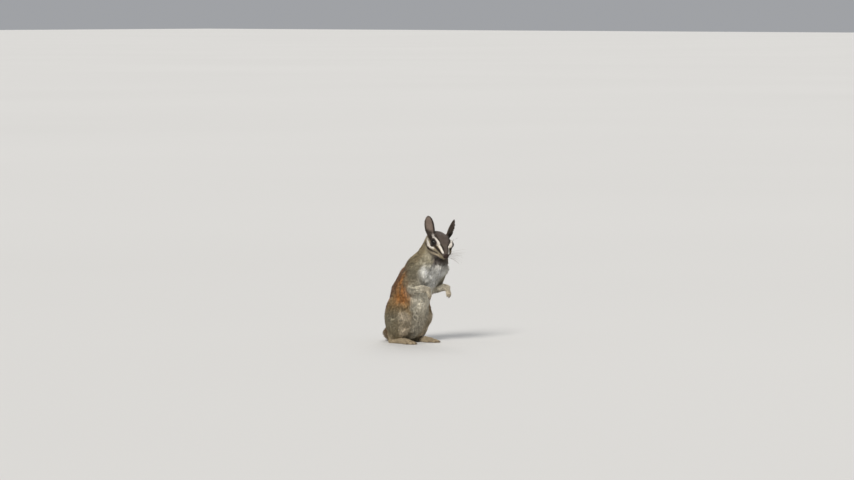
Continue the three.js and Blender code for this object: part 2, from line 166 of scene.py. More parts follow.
JOINTS = {
    "left": dict(side=1, shoulder=P(18.5, 12, 65.5), elbow=P(10.5, 14.8, 48.5), wrist=P(25, 13.4, 48.8), hand=P(27.2, 13, 43.4)),
    "right": dict(side=-1, shoulder=P(13, -11, 61), elbow=P(10.5, -14.2, 48.6), wrist=P(23.6, -10.4, 48.2), hand=P(25.6, -10, 43.2)),
}
TOES = [(-3.3, 5.6, 4.6), (-1.9, 1.2, 6.6), (-0.1, 0.2, 7.2), (1.7, 0.9, 6.8), (3.1, 4.6, 5.2)]
FINGERS = [(-1.5, 2.8), (-0.5, 3.7), (0.6, 3.6), (1.6, 2.7)]
claws = []  # root, tip, radius, bend direction
for j in JOINTS.values():
    s = j["side"]
    j["ankle"], j["heel"] = P(-14, s * 13.2, 8), P(-16.2, s * 12.8, 2.15)
    j["instep"], j["ball"] = P(-0.8, s * 13.8, 2.2), P(5.4, s * 14.6, 1.8)
    j["knee"] = P(-2.5, s * 15, 21)
    j["upper"] = limb(j["shoulder"], j["elbow"], 6.8, 4.5, 1.5)
    j["fore"] = limb(j["elbow"], j["wrist"], 4.5, 2.7, 0.9)
    j["arm"] = blend(1.5, j["upper"], j["fore"])
    j["thigh"] = blend(
        3,
        egg(P(-9.2, s * 12.8, 21.2), [12.2, 9.2, 17.2], axes(-4, s * 6), 1.9),
        limb(P(-5, s * 14.2, 28), P(-2.2, s * 15, 25.5), 7, 5.8, 1.6),
    )
    j["shank"] = limb(j["knee"], j["ankle"], 6.2, 4.2, 1.4)
    sole = [
        limb(j["ankle"], j["heel"], 3.9, 3.0, 0.6),
        limb(j["heel"], j["instep"], 2.9, 2.7, 0.35),
        limb(j["instep"], j["ball"], 2.8, 2.6, 0.3),
    ]
    ahead = unit((j["ball"] - j["heel"]) * V(1, 1, 0))
    out = V(-ahead[1], ahead[0], 0)
    out = out if out[0] * s > 0 else -out
    toes = []
    for across, back, long in TOES:
        spread = unit(ahead + out * across * 0.075)
        root = j["ball"] + ahead * (0.6 - back) + out * across * 0.9
        root[2] = 1.4
        tip = root + spread * long
        tip[2] = 0.85
        mid = (root + tip) / 2 + V(0, 0, 0.55)
        toes += [limb(root, mid, TOE_RADIUS + 0.1, TOE_RADIUS, 0.1), limb(mid, tip, TOE_RADIUS, TOE_RADIUS, 0.12)]
        start, end = tip + spread * 0.2 + V(0, 0, 0.35), tip + spread * 2.3
        end[2] = 0.35
        claws.append((start, end, 0.5, V(0, 0, 0.35)))
    j["foot"] = blend(1.2, *sole, *toes)
    down, arm = unit(j["hand"] - j["wrist"]), unit(j["wrist"] - j["elbow"])
    across_v = unit(np.cross(arm, down))
    front = unit(np.cross(down, across_v))
    palm = j["wrist"] * 0.58 + j["hand"] * 0.42
    hand = [
        egg(palm, [1.65, 2.35, 3.3], np.array([front, across_v, down]), 0.15),
        limb(j["wrist"] - arm * 1.6, j["wrist"] + down * 0.6, 1.95, 1.9, 0.25),
    ]
    for across, long in FINGERS:
        root = palm + across_v * across * 0.95 + down * 1.6
        tip = root + down * long + across_v * across * 0.3 - front * 0.5
        mid = (root + tip) / 2 + front * 0.45
        hand += [limb(root, mid, FINGER_RADIUS, FINGER_RADIUS, 0.05), limb(mid, tip, FINGER_RADIUS, FINGER_RADIUS * 0.9, 0.08)]
        claws.append((tip + down * 0.2, tip + down * 1.9 - front * 1.2, 0.42, front * 0.4))
    j["paw"] = blend(0.7, *hand)
    j["leg"] = blend(3, j["thigh"], j["shank"])
    j["down"], j["ahead"] = down, ahead

TAIL_P = [P(-19, 0, 13.5), P(-33, 0, 3.5), P(-38, 25, 5.4), P(-64, 66, 4.6)]


def tail_point(t):
    a, b, c, d = TAIL_P
    t = np.asarray(t, float)[..., None]
    return (1 - t) ** 3 * a + 3 * (1 - t) ** 2 * t * b + 3 * (1 - t) * t * t * c + t**3 * d


def tail_half(t):
    t = np.asarray(t, float)
    near = 5 + (TAIL_HALF_WIDTH - 5) * np.sin(np.minimum(t / 0.3, 1) * math.pi / 2)
    return np.where(t < 0.3, near, TAIL_HALF_WIDTH * (1 - 0.62 * (np.maximum(t - 0.3, 0) / 0.7) ** 2.6))


def tail_core(t):  # the tail under its hair
    return float(tail_half(t)) * np.interp(t, [0, 0.25, 1], [0.72, 0.42, 0.30])


tail_line = tail_point(np.linspace(0, 1, TAIL_STEPS + 1))
tail = blend(
    2,
    *[
        limb(tail_line[i], tail_line[i + 1], tail_core(i / TAIL_STEPS), tail_core((i + 1) / TAIL_STEPS), 0.0, V(0, 0, 1), 1.25)
        for i in range(TAIL_STEPS - 1)
    ],
)


def ear_frame(s):
    base, tip = H(EAR_BASE[0], s * EAR_BASE[1], EAR_BASE[2]), H(EAR_TIP[0], s * EAR_TIP[1], EAR_TIP[2])
    along = unit(tip - base)
    opens = HEAD[0] * 0.8 + HEAD[1] * s * 0.6
    opens = unit(opens - along * (opens @ along))
    return base, along, unit(np.cross(along, opens)), opens


def ear_outline(t):
    t = np.clip(t, 1e-4, 1 - 1e-4)
    low = 0.7 + 0.3 * np.sin(np.minimum(t / 0.36, 1) * math.pi / 2)
    high = (1 - (np.maximum(t - 0.36, 0) / 0.64) ** 3) ** 0.62
    return np.where(t < 0.36, low, high)


def ear(s):
    base, along, wide, opens = ear_frame(s)
    half = EAR_WIDTH / 2

    def form(p):
        q = p - base
        t, x, w = q @ along / EAR_LENGTH, q @ wide, q @ opens
        bend = EAR_CUP * (x / half) ** 2 - 0.9 * np.sin(np.clip(t, 0, 1) * math.pi)
        slope = 2 * EAR_CUP * np.abs(x) / half**2
        sheet = np.abs(w - bend) / np.sqrt(1 + slope**2) - EAR_THICK / 2 * (1.15 - 0.5 * np.clip(t, 0, 1))
        e = 0.01
        lean = (ear_outline(t + e) - ear_outline(t - e)) * half / (2 * e * EAR_LENGTH)
        edge = (np.abs(x) - half * ear_outline(t)) / np.sqrt(1 + lean**2)
        edge = np.maximum(edge, np.maximum((t - 0.995) * EAR_LENGTH, (-0.12 - t) * EAR_LENGTH))
        a, b = sheet, edge
        return np.sqrt(np.maximum(a, 0) ** 2 + np.maximum(b, 0) ** 2) + np.minimum(np.maximum(a, b), 0)

    return form


ears = {"left": ear(1), "right": ear(-1)}


def eye_frame(s):
    c = H(EYE[0], s * EYE[1], EYE[2])
    out = unit(0.50 * HEAD[0] + s * 0.86 * HEAD[1] + 0.16 * HEAD[2])
    ahead = HEAD[0] - out * (HEAD[0] @ out) - 0.18 * HEAD[2]
    ahead = unit(ahead - out * (ahead @ out))
    return c, out, ahead, unit(np.cross(out, ahead)) * (1 if s > 0 else -1)


EYES = {n: eye_frame(j["side"]) for n, j in JOINTS.items()}
LID_WIDE, LID_HIGH = 0.84, 0.80  # half-openings as sines of the angle at the eyeball's middle


def eye_socket(d, p, name):
    c, out, ahead, upw = EYES[name]
    q = p - c
    r = np.sqrt((q * q).sum(1))
    d = smin(d, r - (EYE_RADIUS + 0.35), 1.6)
    rr = np.maximum(r, 1e-6)
    m = np.sqrt((q @ ahead / rr / LID_WIDE) ** 2 + (q @ upw / rr / LID_HIGH) ** 2) - 1
    m = np.where(q @ out > 0, m, 1.0) * EYE_RADIUS * 0.75
    return np.maximum(d, -np.maximum(m, EYE_RADIUS - 0.45 - r))


NOSTRILS = [H(15.9, s * 0.85, -5.3) for s in (1, -1)]
MOUTH = [(s, [H(15.0, 0, -7.2), H(12.6, s * 1.6, -8.2), H(9.6, s * 3.0, -8.4), H(7.2, s * 4.1, -8.3)]) for s in (1, -1)]


def skin_field(p):
    d = smin(trunk(p), head(p), 4)
    for n, j in JOINTS.items():
        d = smin(d, j["leg"](p), 8)
        d = smin(d, j["foot"](p), 3.0)
        d = smin(d, j["arm"](p), 4.5)
        d = smin(d, j["paw"](p), 0.8)
        d = smin(d, ears[n](p), 1.6)
    d = smin(d, tail(p), 4)
    for n in JOINTS:
        d = eye_socket(d, p, n)
    for c in NOSTRILS:
        d = np.maximum(d, 0.42 - np.sqrt(((p - c) ** 2).sum(1)))
    return np.maximum(d, 0.02 - p[:, 2])


def chunked(fn, p, size=200000):
    return np.concatenate([fn(p[i : i + size]) for i in range(0, len(p), size)]) if len(p) else np.zeros(0)


# ---------------------------------------------------------------- the skin, sampled finest at the head
def spaced(lo, hi, a, b, fine, coarse):
    out = [lo]
    while out[-1] < hi:
        x = out[-1]
        out.append(x + (fine if a < x < b else coarse))
    return np.array(out)


def surface(fn):
    k = 1.0
    gx = spaced(-23.5, 71, -16, 12, 0.38 * k, 0.72 * k)
    gy = spaced(-49.5, 68, -49, -18, 0.38 * k, 0.72 * k)
    gz = spaced(-1.2, 113, 76, 113, 0.38 * k, 0.72 * k)
    n = (len(gx), len(gy), len(gz))
    step = 4
    cx, cy, cz = gx[::step], gy[::step], gz[::step]
    grid = np.stack(np.meshgrid(cx, cy, cz, indexing="ij"), -1).reshape(-1, 3)
    coarse = chunked(fn, grid).reshape(len(cx), len(cy), len(cz))
    value = np.repeat(np.repeat(np.repeat(coarse, step, 0), step, 1), step, 2)[: n[0], : n[1], : n[2]].copy()
    near = np.abs(coarse) < 3.6 * k
    grown = near.copy()
    for axis in range(3):
        for shift in (1, -1):
            grown |= np.roll(near, shift, axis)
    mask = np.repeat(np.repeat(np.repeat(grown, step, 0), step, 1), step, 2)[: n[0], : n[1], : n[2]]
    at = np.argwhere(mask)
    value[mask] = chunked(fn, np.stack([gx[at[:, 0]], gy[at[:, 1]], gz[at[:, 2]]], 1))
    for axis in range(3):
        ends = [slice(None)] * 3
        for e in (0, -1):
            ends[axis] = e
            value[tuple(ends)] = np.maximum(value[tuple(ends)], 0.1)
    sign = value < 0
    c = np.array(n) - 1
    inside = np.zeros(c, int)
    for a in (0, 1):
        for b in (0, 1):
            for d in (0, 1):
                inside += sign[a : a + c[0], b : b + c[1], d : d + c[2]]
    cells = np.argwhere((inside > 0) & (inside < 8))
    index = np.full(c, -1, np.int64)
    index[tuple(cells.T)] = np.arange(len(cells))
    axes3 = (gx, gy, gz)
    total, count = np.zeros((len(cells), 3)), np.zeros(len(cells))
    for axis in range(3):
        o1, o2 = (axis + 1) % 3, (axis + 2) % 3
        for a in (0, 1):
            for b in (0, 1):
                i0 = cells.copy()
                i0[:, o1] += a
                i0[:, o2] += b
                i1 = i0.copy()
                i1[:, axis] += 1
                v0, v1 = value[tuple(i0.T)], value[tuple(i1.T)]
                cross = (v0 < 0) != (v1 < 0)
                t = np.where(cross, v0 / np.where(v0 == v1, 1, v0 - v1), 0)
                pt = np.stack([axes3[m][i0[:, m]] for m in range(3)], 1)
                pt[:, axis] += t * (axes3[axis][i1[:, axis]] - axes3[axis][i0[:, axis]])
                total += pt * cross[:, None]
                count += cross
    verts = total / count[:, None]
    quads = []
    for axis in range(3):
        o1, o2 = (axis + 1) % 3, (axis + 2) % 3
        lo = [slice(None)] * 3
        hi = [slice(None)] * 3
        lo[axis], hi[axis] = slice(0, -1), slice(1, None)
        s0, s1 = sign[tuple(lo)], sign[tuple(hi)]
        e = np.argwhere(s0 != s1)
        e = e[(e[:, o1] > 0) & (e[:, o2] > 0) & (e[:, o1] < c[o1]) & (e[:, o2] < c[o2])]
        out_first = sign[tuple(e.T)]
        ring = []
        for x, y in ((1, 1), (0, 1), (0, 0), (1, 0)):
            k3 = e.copy()
            k3[:, o1] -= x
            k3[:, o2] -= y
            ring.append(index[tuple(k3.T)])
        ring = np.stack(ring, 1)
        quads.append(np.where(out_first[:, None], ring, ring[:, ::-1]))
    return verts, np.concatenate(quads)


def gradient(fn, p, e=0.04):
    g = np.empty_like(p)
    for a in range(3):
        q = p.copy()
        q[:, a] += e
        hi = chunked(fn, q)
        q[:, a] -= 2 * e
        g[:, a] = (hi - chunked(fn, q)) / (2 * e)
    return g


verts, quads = surface(skin_field)
for _ in range(2):
    g = gradient(skin_field, verts)
    d = chunked(skin_field, verts)
    verts = verts - g * (np.clip(d, -0.2, 0.2) / np.maximum((g * g).sum(1), 0.25))[:, None]


def relax(verts, quads, passes=2, amount=0.35):
    edges = np.concatenate([quads[:, [i, (i + 1) % 4]] for i in range(4)])
    for _ in range(passes):
        total, count = np.zeros_like(verts), np.zeros(len(verts))
        for a, b in ((0, 1), (1, 0)):
            np.add.at(total, edges[:, a], verts[edges[:, b]])
            np.add.at(count, edges[:, a], 1)
        verts = verts + amount * (total / np.maximum(count, 1)[:, None] - verts)
    return verts


verts = relax(verts, quads)
verts[:, 2] = np.maximum(verts[:, 2], 0.02)
tri = np.concatenate([quads[:, [0, 1, 2]], quads[:, [0, 2, 3]]])
fn_ = np.cross(verts[tri[:, 1]] - verts[tri[:, 0]], verts[tri[:, 2]] - verts[tri[:, 0]])
normal = np.zeros_like(verts)
for i in range(3):
    np.add.at(normal, tri[:, i], fn_)
normal /= np.maximum(np.linalg.norm(normal, axis=1), 1e-9)[:, None]
print("skin", len(verts), "vertices", len(tri), "triangles")

# ---------------------------------------------------------------- which part a point of the skin belongs to
REGIONS = ["head", "trunk", "thigh_l", "thigh_r", "shank_l", "shank_r", "foot_l", "foot_r", "upper_l", "upper_r", "fore_l", "fore_r", "paw_l", "paw_r", "tail", "ear_l", "ear_r"]
L, R = JOINTS["left"], JOINTS["right"]
FORMS = [head, trunk, L["thigh"], R["thigh"], L["shank"], R["shank"], L["foot"], R["foot"], L["upper"], R["upper"], L["fore"], R["fore"], L["paw"], R["paw"], tail, ears["left"], ears["right"]]


def weights(p, soft=0.9):
    d = np.stack([chunked(f, p) for f in FORMS], 1)
    w = np.exp(-(d - d.min(1, keepdims=True)) / soft)
    return w / w.sum(1, keepdims=True)


def to_head(p):
    return (p - EYE_MID) @ HEAD.T


def ramp(x, a, b):
    t = np.clip((x - a) / (b - a), 0, 1)
    return t * t * (3 - 2 * t)


LEAN_U = [0, 20, 45, 56, 65, 74, 84]
LEAN_A = [-40, -8, 8, 30, 40, 34, 26]


def trunk_down(p):
    a = np.radians(np.interp(p[:, 2], LEAN_U, LEAN_A))
    return np.stack([np.zeros(len(p)), np.sin(a), -np.cos(a)], 1)


TAIL_FINE = tail_point(np.linspace(0, 1, 121))
TAIL_TAN = np.gradient(TAIL_FINE, axis=0)
TAIL_TAN /= np.linalg.norm(TAIL_TAN, axis=1)[:, None]


def tail_dir(p):
    """Direction of the tail beside a point, the share of its length there, and the side the point lies on."""
    k = np.argmin(((p[:, None, :2] - TAIL_FINE[None, :, :2]) ** 2).sum(2), 1)
    q = p - TAIL_FINE[k]
    t = np.clip(k + (q * TAIL_TAN[k]).sum(1) / (np.linalg.norm(TAIL_FINE[-1] - TAIL_FINE[-2])), 0, 120)
    tan = np.stack([np.interp(t, np.arange(121), TAIL_TAN[:, a]) for a in range(3)], 1)
    across = np.cross(np.tile(V(0, 0, 1), (len(p), 1)), tan)
    across /= np.maximum(np.linalg.norm(across, axis=1), 1e-6)[:, None]
    off = (q * across).sum(1)
    return tan, t / 120.0, off, across


def lie(p, w):
    n = len(p)
    nose = H(17.5, 0, -5.2)
    away = p - nose
    away /= np.maximum(np.linalg.norm(away, axis=1), 1e-6)[:, None]
    dirs = [away * 0.7 - HEAD[0] * 0.6, trunk_down(p)]
    for j in (L, R):
        dirs.append(np.tile(unit(P(-0.15, 0, -1)), (n, 1)))
    for j in (L, R):
        dirs.append(np.tile(unit(j["ankle"] - j["knee"]), (n, 1)))
    for j in (L, R):
        dirs.append(np.tile(unit(j["ahead"] + V(0, 0, -0.35)), (n, 1)))
    for j in (L, R):
        dirs.append(np.tile(unit(j["elbow"] - j["shoulder"]), (n, 1)))
    for j in (L, R):
        dirs.append(np.tile(unit(j["wrist"] - j["elbow"]), (n, 1)))
    for j in (L, R):
        dirs.append(np.tile(j["down"], (n, 1)))
    tan, _, off, across = tail_dir(p)
    dirs.append(tan + across * np.clip(off / 3.0, -1, 1)[:, None] * 0.75)
    for s in (1, -1):
        dirs.append(np.tile(ear_frame(s)[1], (n, 1)))
    return sum(w[:, i : i + 1] * d for i, d in enumerate(dirs))


def length(p, w):
    h = to_head(p)
    to_nose = np.linalg.norm(p - H(15, 0, -5.5), axis=1)
    face = np.interp(to_nose, [0, 4, 10, 18, 28, 40], [0.45, 0.8, 1.3, 2.0, 3.4, 5.0])
    for n in JOINTS:
        to_eye = np.linalg.norm(p - EYES[n][0], axis=1)
        face = np.minimum(face, np.interp(to_eye, [3.2, 4.0, 7.5], [0.5, 0.8, 2.6]))
    front = -p[:, 1]
    chest = ramp(front - np.interp(p[:, 2], [40, 56, 66, 76], [6, 12, 18, 24]), 0, 6) * ramp(p[:, 2], 46, 56)
    body = 6.4 + 3.0 * chest
    body = np.where(p[:, 2] > 72, np.minimum(body, np.interp(p[:, 2], [72, 84], [6.4, 4.2])), body)
    tail_len = np.interp(tail_dir(p)[1], [0, 0.15, 0.4, 0.8, 1], [6.0, 8.0, 10.5, 10.0, 8.0])
    parts = [face, body, 5.6, 5.6, 4.0, 4.0, 1.4, 1.4, 5.0, 5.0, 3.0, 3.0, 1.1, 1.1, tail_len, 0.9, 0.9]
    return sum(w[:, i] * v for i, v in enumerate(parts))


# ---------------------------------------------------------------- markings, the same function for skin and coat
def srgb(r, g, b):
    c = np.array([r, g, b], float) / 255
    return np.where(c <= 0.04045, c / 12.92, ((c + 0.055) / 1.055) ** 2.4)


CROWN = srgb(98, 87, 80)
DARK = srgb(50, 40, 33)
WHITE = srgb(238, 231, 221)
CHEEK = srgb(158, 146, 120)
PATCH = srgb(230, 213, 184)
BUFF = srgb(188, 172, 142)
CREAM = srgb(236, 229, 211)
SILVER = srgb(230, 229, 223)
GREY = srgb(138, 130, 112)
SHADE = srgb(96, 88, 82)
OLIVE = srgb(146, 133, 106)
ORANGE = srgb(178, 122, 68)
RUSSET = srgb(128, 92, 70)
TAWNY = srgb(140, 110, 78)
PAW = srgb(168, 152, 126)
NOSE = srgb(46, 32, 27)


def on_skin(points):
    p = np.array(points, float)
    for _ in range(12):
        g = gradient(head, p)
        p = p - g * (head(p) / np.maximum((g * g).sum(1), 0.25))[:, None]
    return p


def line_of(pts, s):
    coarse = np.array([H(f, s * l, u) for f, l, u in pts])
    t = np.linspace(0, len(pts) - 1, 8 * (len(pts) - 1) + 1)
    fine = np.stack([np.interp(t, np.arange(len(pts)), coarse[:, a]) for a in range(3)], 1)
    return on_skin(fine)


def to_line(p, line):
    best = np.full(len(p), 1e9)
    along = np.zeros(len(p))
    for i in range(len(line) - 1):
        ab = line[i + 1] - line[i]
        q = p - line[i]
        t = np.clip(q @ ab / max(ab @ ab, 1e-9), 0, 1)
        d = np.sqrt(((q - t[:, None] * ab) ** 2).sum(1))
        near = d < best
        best = np.where(near, d, best)
        along = np.where(near, (i + t) / (len(line) - 1), along)
    return best, along


STRIPES = [  # colour, half-width at the nose end and at the far end, edge softness, points (forward, out, up)
    (DARK, 0.5, 1.1, 0.4, [(14.2, 1.9, -2.6), (11.5, 2.4, -1.4), (7.6, 3.2, 1.2), (4.0, 5.2, 4.0), (-0.5, 6.4, 5.6), (-5.3, 6.2, 6.0)]),
    (DARK, 0.5, 1.15, 0.4, [(8.6, 5.2, -6.2), (6.1, 7.4, -6.0), (3.6, 9.0, -6.3), (-1.3, 10.2, -6.9), (-8.3, 10.3, -7.0), (-12.2, 10.2, -6.0)]),
    (WHITE, 1.0, 1.25, 0.28, [(4.4, 8.7, -3.7), (1.5, 10.0, -4.0), (-2.5, 10.6, -3.9), (-5.6, 10.6, -2.9), (-11.0, 10.0, -2.0)]),
    (DARK, 0.7, 1.5, 0.35, [(12.5, 3.2, -4.6), (8.4, 5.4, -3.1), (5.4, 7.2, -1.9), (3.6, 8.4, -0.6), (-2.0, 9.6, 0.4), (-6.5, 9.4, 1.2), (-10.5, 9.4, 1.6)]),
    (WHITE, 0.8, 1.02, 0.26, [(12.9, 3.0, -2.9), (10.1, 3.8, -1.6), (6.8, 4.9, 0.3), (4.9, 6.3, 2.5), (1.2, 7.5, 3.8), (-4.0, 8.1, 3.7), (-8.3, 7.5, 4.5)]),
]
STRIPE_LINES = [[line_of(s[4], side) for side in (1, -1)] for s in STRIPES]


def mix(a, b, t):
    return a + (b - a) * t[:, None]


WAVES = rng.normal(size=(12, 3)) * 0.55
WAVE_PHASE = rng.uniform(0, 2 * math.pi, 12)


def mottling(p, scale=1.0):
    return np.sin(p @ WAVES.T * scale + WAVE_PHASE).sum(1) / 6.0


STREAK = rng.normal(size=(28, 3)) * np.array([1.9, 1.9, 0.14])
STREAK_PHASE = rng.uniform(0, 2 * math.pi, 28)


def streaks(p, scale=1.0):
    """Long light and dark locks: quick changes across the fall of the coat, slow ones down it."""
    return np.sin(p @ STREAK.T * scale + STREAK_PHASE).sum(1) / 3.8


def bell(x, middle, spread):
    return np.exp(-(((x - middle) / spread) ** 2))


def plain(c, p):
    return np.tile(c, (len(p), 1))


def trunk_angle(p):
    """Angle round the trunk: 0 on the spine, pi on the belly."""
    centre_f = np.interp(p[:, 2], [0, 20, 33, 45, 56, 66, 76, 90], [-9, -9, -7.5, -4, 2.5, 10, 17, 25])
    f = -p[:, 1] - centre_f
    return np.arctan2(np.abs(p[:, 0]), -f)


def markings(p, w):
    h = to_head(p)
    wob = mottling(p, 0.6) * 0.05
    fine = streaks(p)
    # trunk
    phi = np.degrees(trunk_angle(p)) * (1 + wob * 0.6)
    u = p[:, 2]
    col = mix(plain(GREY, p), plain(TAWNY, p), np.full(len(p), 0.3))
    run = (1 - ramp(u, 72, 80)) * ramp(u, 14, 24)
    for a, b, c in ((0, 5.5, DARK), (16, 26, DARK), (26, 37, CREAM), (37, 60, RUSSET)):
        m = ramp(phi, a - 1.5, a + 1.5) * (1 - ramp(phi, b - 2.0, b + 2.0)) if a else 1 - ramp(phi, b - 1.5, b + 1.5)
        col = mix(col, plain(c, p), m * run * (0.95 if a < 37 else 0.75))
    flank = mix(plain(OLIVE, p), plain(srgb(142, 120, 86), p), bell(u, 38, 14))
    shoulder = mix(flank, plain(srgb(140, 132, 110), p), ramp(u, 58, 66))
    col = mix(col, shoulder, ramp(phi, 56, 68))
    rust = np.maximum(bell(phi, 105, 27) * ramp(u, 33, 45) * (1 - ramp(u, 50, 62)), 0.75 * bell(phi, 76, 13) * ramp(u, 44, 52) * (1 - ramp(u, 60, 72)))
    col = mix(col, plain(ORANGE, p), np.clip(rust * (1 + 0.35 * fine), 0, 1))
    col = mix(col, plain(RUSSET, p), 0.7 * bell(phi, 64, 8) * ramp(u, 42, 50) * (1 - ramp(u, 58, 66)))
    col = mix(col, plain(BUFF, p), 0.8 * bell(phi, 116 + (53 - u) * 5.5, 7) * bell(u, 50.5, 5))
    # painted shade low on the belly, towards the thighs: greyer below, and a grey band along its lower side
    belly = mix(plain(srgb(198, 190, 172), p), plain(CREAM, p), ramp(u, 28, 40))
    belly = mix(belly, plain(SILVER, p), ramp(u, 50, 58))
    belly = mix(belly, plain(srgb(120, 120, 108), p), 0.45 * bell(phi, 141, 6) * (1 - ramp(u, 36, 46)))
    col = mix(col, belly, ramp(phi + 0.35 * (u - 48) - 4 * bell(u, 43, 9), 122, 138))
    neck = mix(plain(OLIVE, p), plain(srgb(176, 168, 146), p), ramp(phi, 84, 112))
    neck = mix(neck, plain(SHADE, p), ramp(phi, 140, 158))
    col = mix(col, neck, ramp(u, 68, 75))
    front = ramp(phi, 125, 145)
    deep = 0.13 + front * (0.17 * ramp(u, 46, 54) - 0.05 * (1 - ramp(u, 42, 50)))
    locks = fine + (streaks(p, 1.6) - fine) * front * ramp(u, 44, 52)
    trunk_col = col * (1 + deep * locks)[:, None]
    out = trunk_col * w[:, 1:2]
    # head
    crown = mix(plain(CROWN, p), plain(GREY, p), ramp(-h[:, 0], 11, 20))
    side = mix(plain(CHEEK, p), plain(OLIVE, p), ramp(-h[:, 0], 7, 15))
    chin = mix(side, plain(SHADE, p), ramp(-h[:, 2], 9.0, 11.5) * (1 - ramp(np.abs(h[:, 1]), 3.5, 7.5)))
    col = mix(chin, crown, ramp(h[:, 2], -1.0, 1.5))
    col = mix(col, plain(CROWN, p), ramp(h[:, 0], 6, 9) * (1 - ramp(np.abs(h[:, 1]), 2.4, 4.0)) * ramp(h[:, 2], -7.0, -4.5))
    spot = np.exp(-(((h[:, 0] - 7.4) / 3.6) ** 2) - (((h[:, 2] + 8.0) / 1.4) ** 2)) * (h[:, 0] > -4)
    col = mix(col, plain(PATCH, p), np.clip(spot * 1.2, 0, 1))
    for (c, a, b, soft, _), lines in zip(STRIPES, STRIPE_LINES):
        for line in lines:
            near, along = to_line(p, line)
            wide = (a + (b - a) * np.clip(along * 1.8, 0, 1)) * (1 + wob)
            m = 1 - ramp(near, wide - soft, wide + soft)
            m = m * (1 - ramp(along, 0.93, 1.0) * 0.7)
            col = mix(col, plain(c, p), m)
    col = mix(col, plain(CROWN * 0.9, p), ramp(h[:, 0], 12.6, 14.0) * ramp(h[:, 2], -6.6, -5.2))
    col = mix(col, plain(NOSE, p), ramp(h[:, 0], 14.3, 15.2) * ramp(h[:, 2], -7.6, -6.4))
    for s, pts in MOUTH:
        near, _ = to_line(p, np.array(pts))
        col = mix(col, plain(DARK, p), (1 - ramp(near, 0.25, 0.6)) * 0.8)
    for n in JOINTS:
        c, o, a_, u_ = EYES[n]
        q = p - c
        r = np.linalg.norm(q, axis=1)
        m = np.sqrt((q @ a_ / r / LID_WIDE) ** 2 + (q @ u_ / r / LID_HIGH) ** 2)
        rim = (1 - ramp(m, 1.05, 1.15)) * (q @ o > 0) * (r < 4.6)
        rim = np.maximum(rim, 1 - ramp(np.linalg.norm(q - o * 1.0 - a_ * 0.1 - u_ * 0.5, axis=1), 3.5, 3.95))
        col = mix(col, plain(DARK * 0.6, p), rim)
    out += col * (1 + 0.06 * mottling(p, 2.2))[:, None] * w[:, 0:1]
    # limbs
    for i, j in ((2, L), (3, R)):
        c = mix(plain(srgb(154, 141, 114), p), plain(srgb(146, 138, 118), p), ramp(u, 10, 24))
        front = -p[:, 1] - np.abs(p[:, 0]) * 0.55
        c = mix(c, plain(srgb(226, 212, 190), p), ramp(front, -13.5, -8.5) * (1 - ramp(u, 30, 40)))
        c = mix(c * (1 + 0.13 * fine)[:, None], trunk_col, ramp(u, 24, 36))
        out += c * w[:, i : i + 1]
    for i in (4, 5):
        out += mix(plain(OLIVE, p), plain(BUFF, p), ramp(-u, -14, -6)) * w[:, i : i + 1]
    for i in (6, 7):
        out += PAW * w[:, i : i + 1]
    for i in (8, 9):
        c = mix(plain(srgb(172, 166, 148), p), plain(srgb(152, 144, 124), p), ramp(u, 48, 60))
        c = mix(c * (1 + 0.12 * fine)[:, None], trunk_col, 0.5 * ramp(u, 58, 70))
        out += c * w[:, i : i + 1]
    for i in (10, 11):
        out += srgb(198, 191, 174) * (1 + 0.12 * fine)[:, None] * w[:, i : i + 1]
    for i in (12, 13):
        out += srgb(186, 174, 152) * w[:, i : i + 1]
    # tail: dark along the middle, tawny at the sides, darker towards the tip
    _, tt, off, _ = tail_dir(p)
    c = mix(plain(DARK, p), plain(TAWNY, p), ramp(np.abs(off), 0.6, 2.6))
    c = mix(c, plain(DARK, p), ramp(tt, 0.82, 0.99) * 0.8)
    out += c * w[:, 14:15]
    for i, s in ((15, 1), (16, -1)):
        base, along, wide, opens = ear_frame(s)
        q = p - base
        t, x, o = q @ along / EAR_LENGTH, q @ wide / (EAR_WIDTH / 2), q @ opens
        inner = (o - (EAR_CUP * x**2 - 0.9 * np.sin(np.clip(t, 0, 1) * math.pi))) > 0
        medial = x * (1 if (wide @ HEAD[1]) * s < 0 else -1) / ear_outline(t)
        back_c = mix(plain(srgb(70, 58, 48), p), plain(srgb(170, 162, 148), p), ramp(-medial, -0.1, 0.35))
        in_c = mix(plain(srgb(124, 110, 100), p), plain(srgb(36, 30, 22), p), ramp(medial, 0.5, 0.78))
        in_c = mix(in_c, plain(srgb(60, 50, 42), p), ramp(-medial, 0.6, 0.95))
        in_c = mix(in_c, plain(srgb(46, 38, 32), p), 1 - ramp(t + 0.22 * medial, 0.05, 0.30))
        c = np.where(inner[:, None], in_c, back_c)
        c = mix(c, plain(srgb(62, 50, 42), p), ramp(t, 0.93, 0.99))
        out += c * w[:, i : i + 1]
    return np.clip(out * (1 + 0.08 * mottling(p, 1.3))[:, None], 0, 1)


skin_w = weights(verts)
skin_col = markings(verts, weights(verts, 1.8))
skin_len = length(verts, skin_w)
flow = lie(verts, skin_w)
flow -= normal * (flow * normal).sum(1)[:, None]
flow /= np.maximum(np.linalg.norm(flow, axis=1), 1e-6)[:, None]


# ---------------------------------------------------------------- Blender meshes and materials
def world(p):
    q = np.array(p, float).reshape(-1, 3).copy()
    q[:, 0] -= CENTRE[0]
    q[:, 1] -= CENTRE[1]
    return q * 0.001


